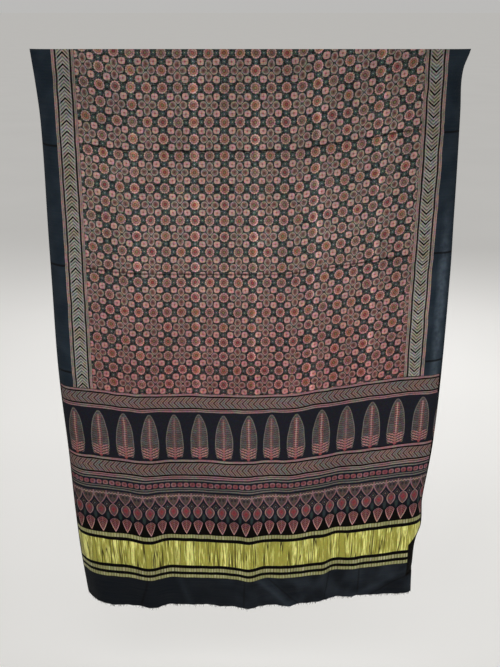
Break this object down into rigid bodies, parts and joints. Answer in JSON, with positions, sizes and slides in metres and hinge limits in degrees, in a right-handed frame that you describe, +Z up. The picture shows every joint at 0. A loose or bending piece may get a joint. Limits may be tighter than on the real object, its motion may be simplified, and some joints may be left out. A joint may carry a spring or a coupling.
{
  "type": "ajrakh cloth",
  "caption": "Hanging end of a block-printed ajrakh stole: a sheet with a rosette field, chevron borders, tree and pendant bands and woven gold stripes, held along its top edge.",
  "frame": {"origin": "middle of the straight top edge that the cloth hangs from", "axes": "+Z up along the hanging length, +X across the width to the viewer's right, the printed face looks along -Y"},
  "size_m": [0.9005, 0.0777, 1.3297],
  "materials": {
    "printed_cloth": "soft block-printed weave with woven gold stripes near the hem"
  },
  "bodies": {
    "root": {"ajrakh_cloth": "printed_cloth"}
  },
  "joints": []
}
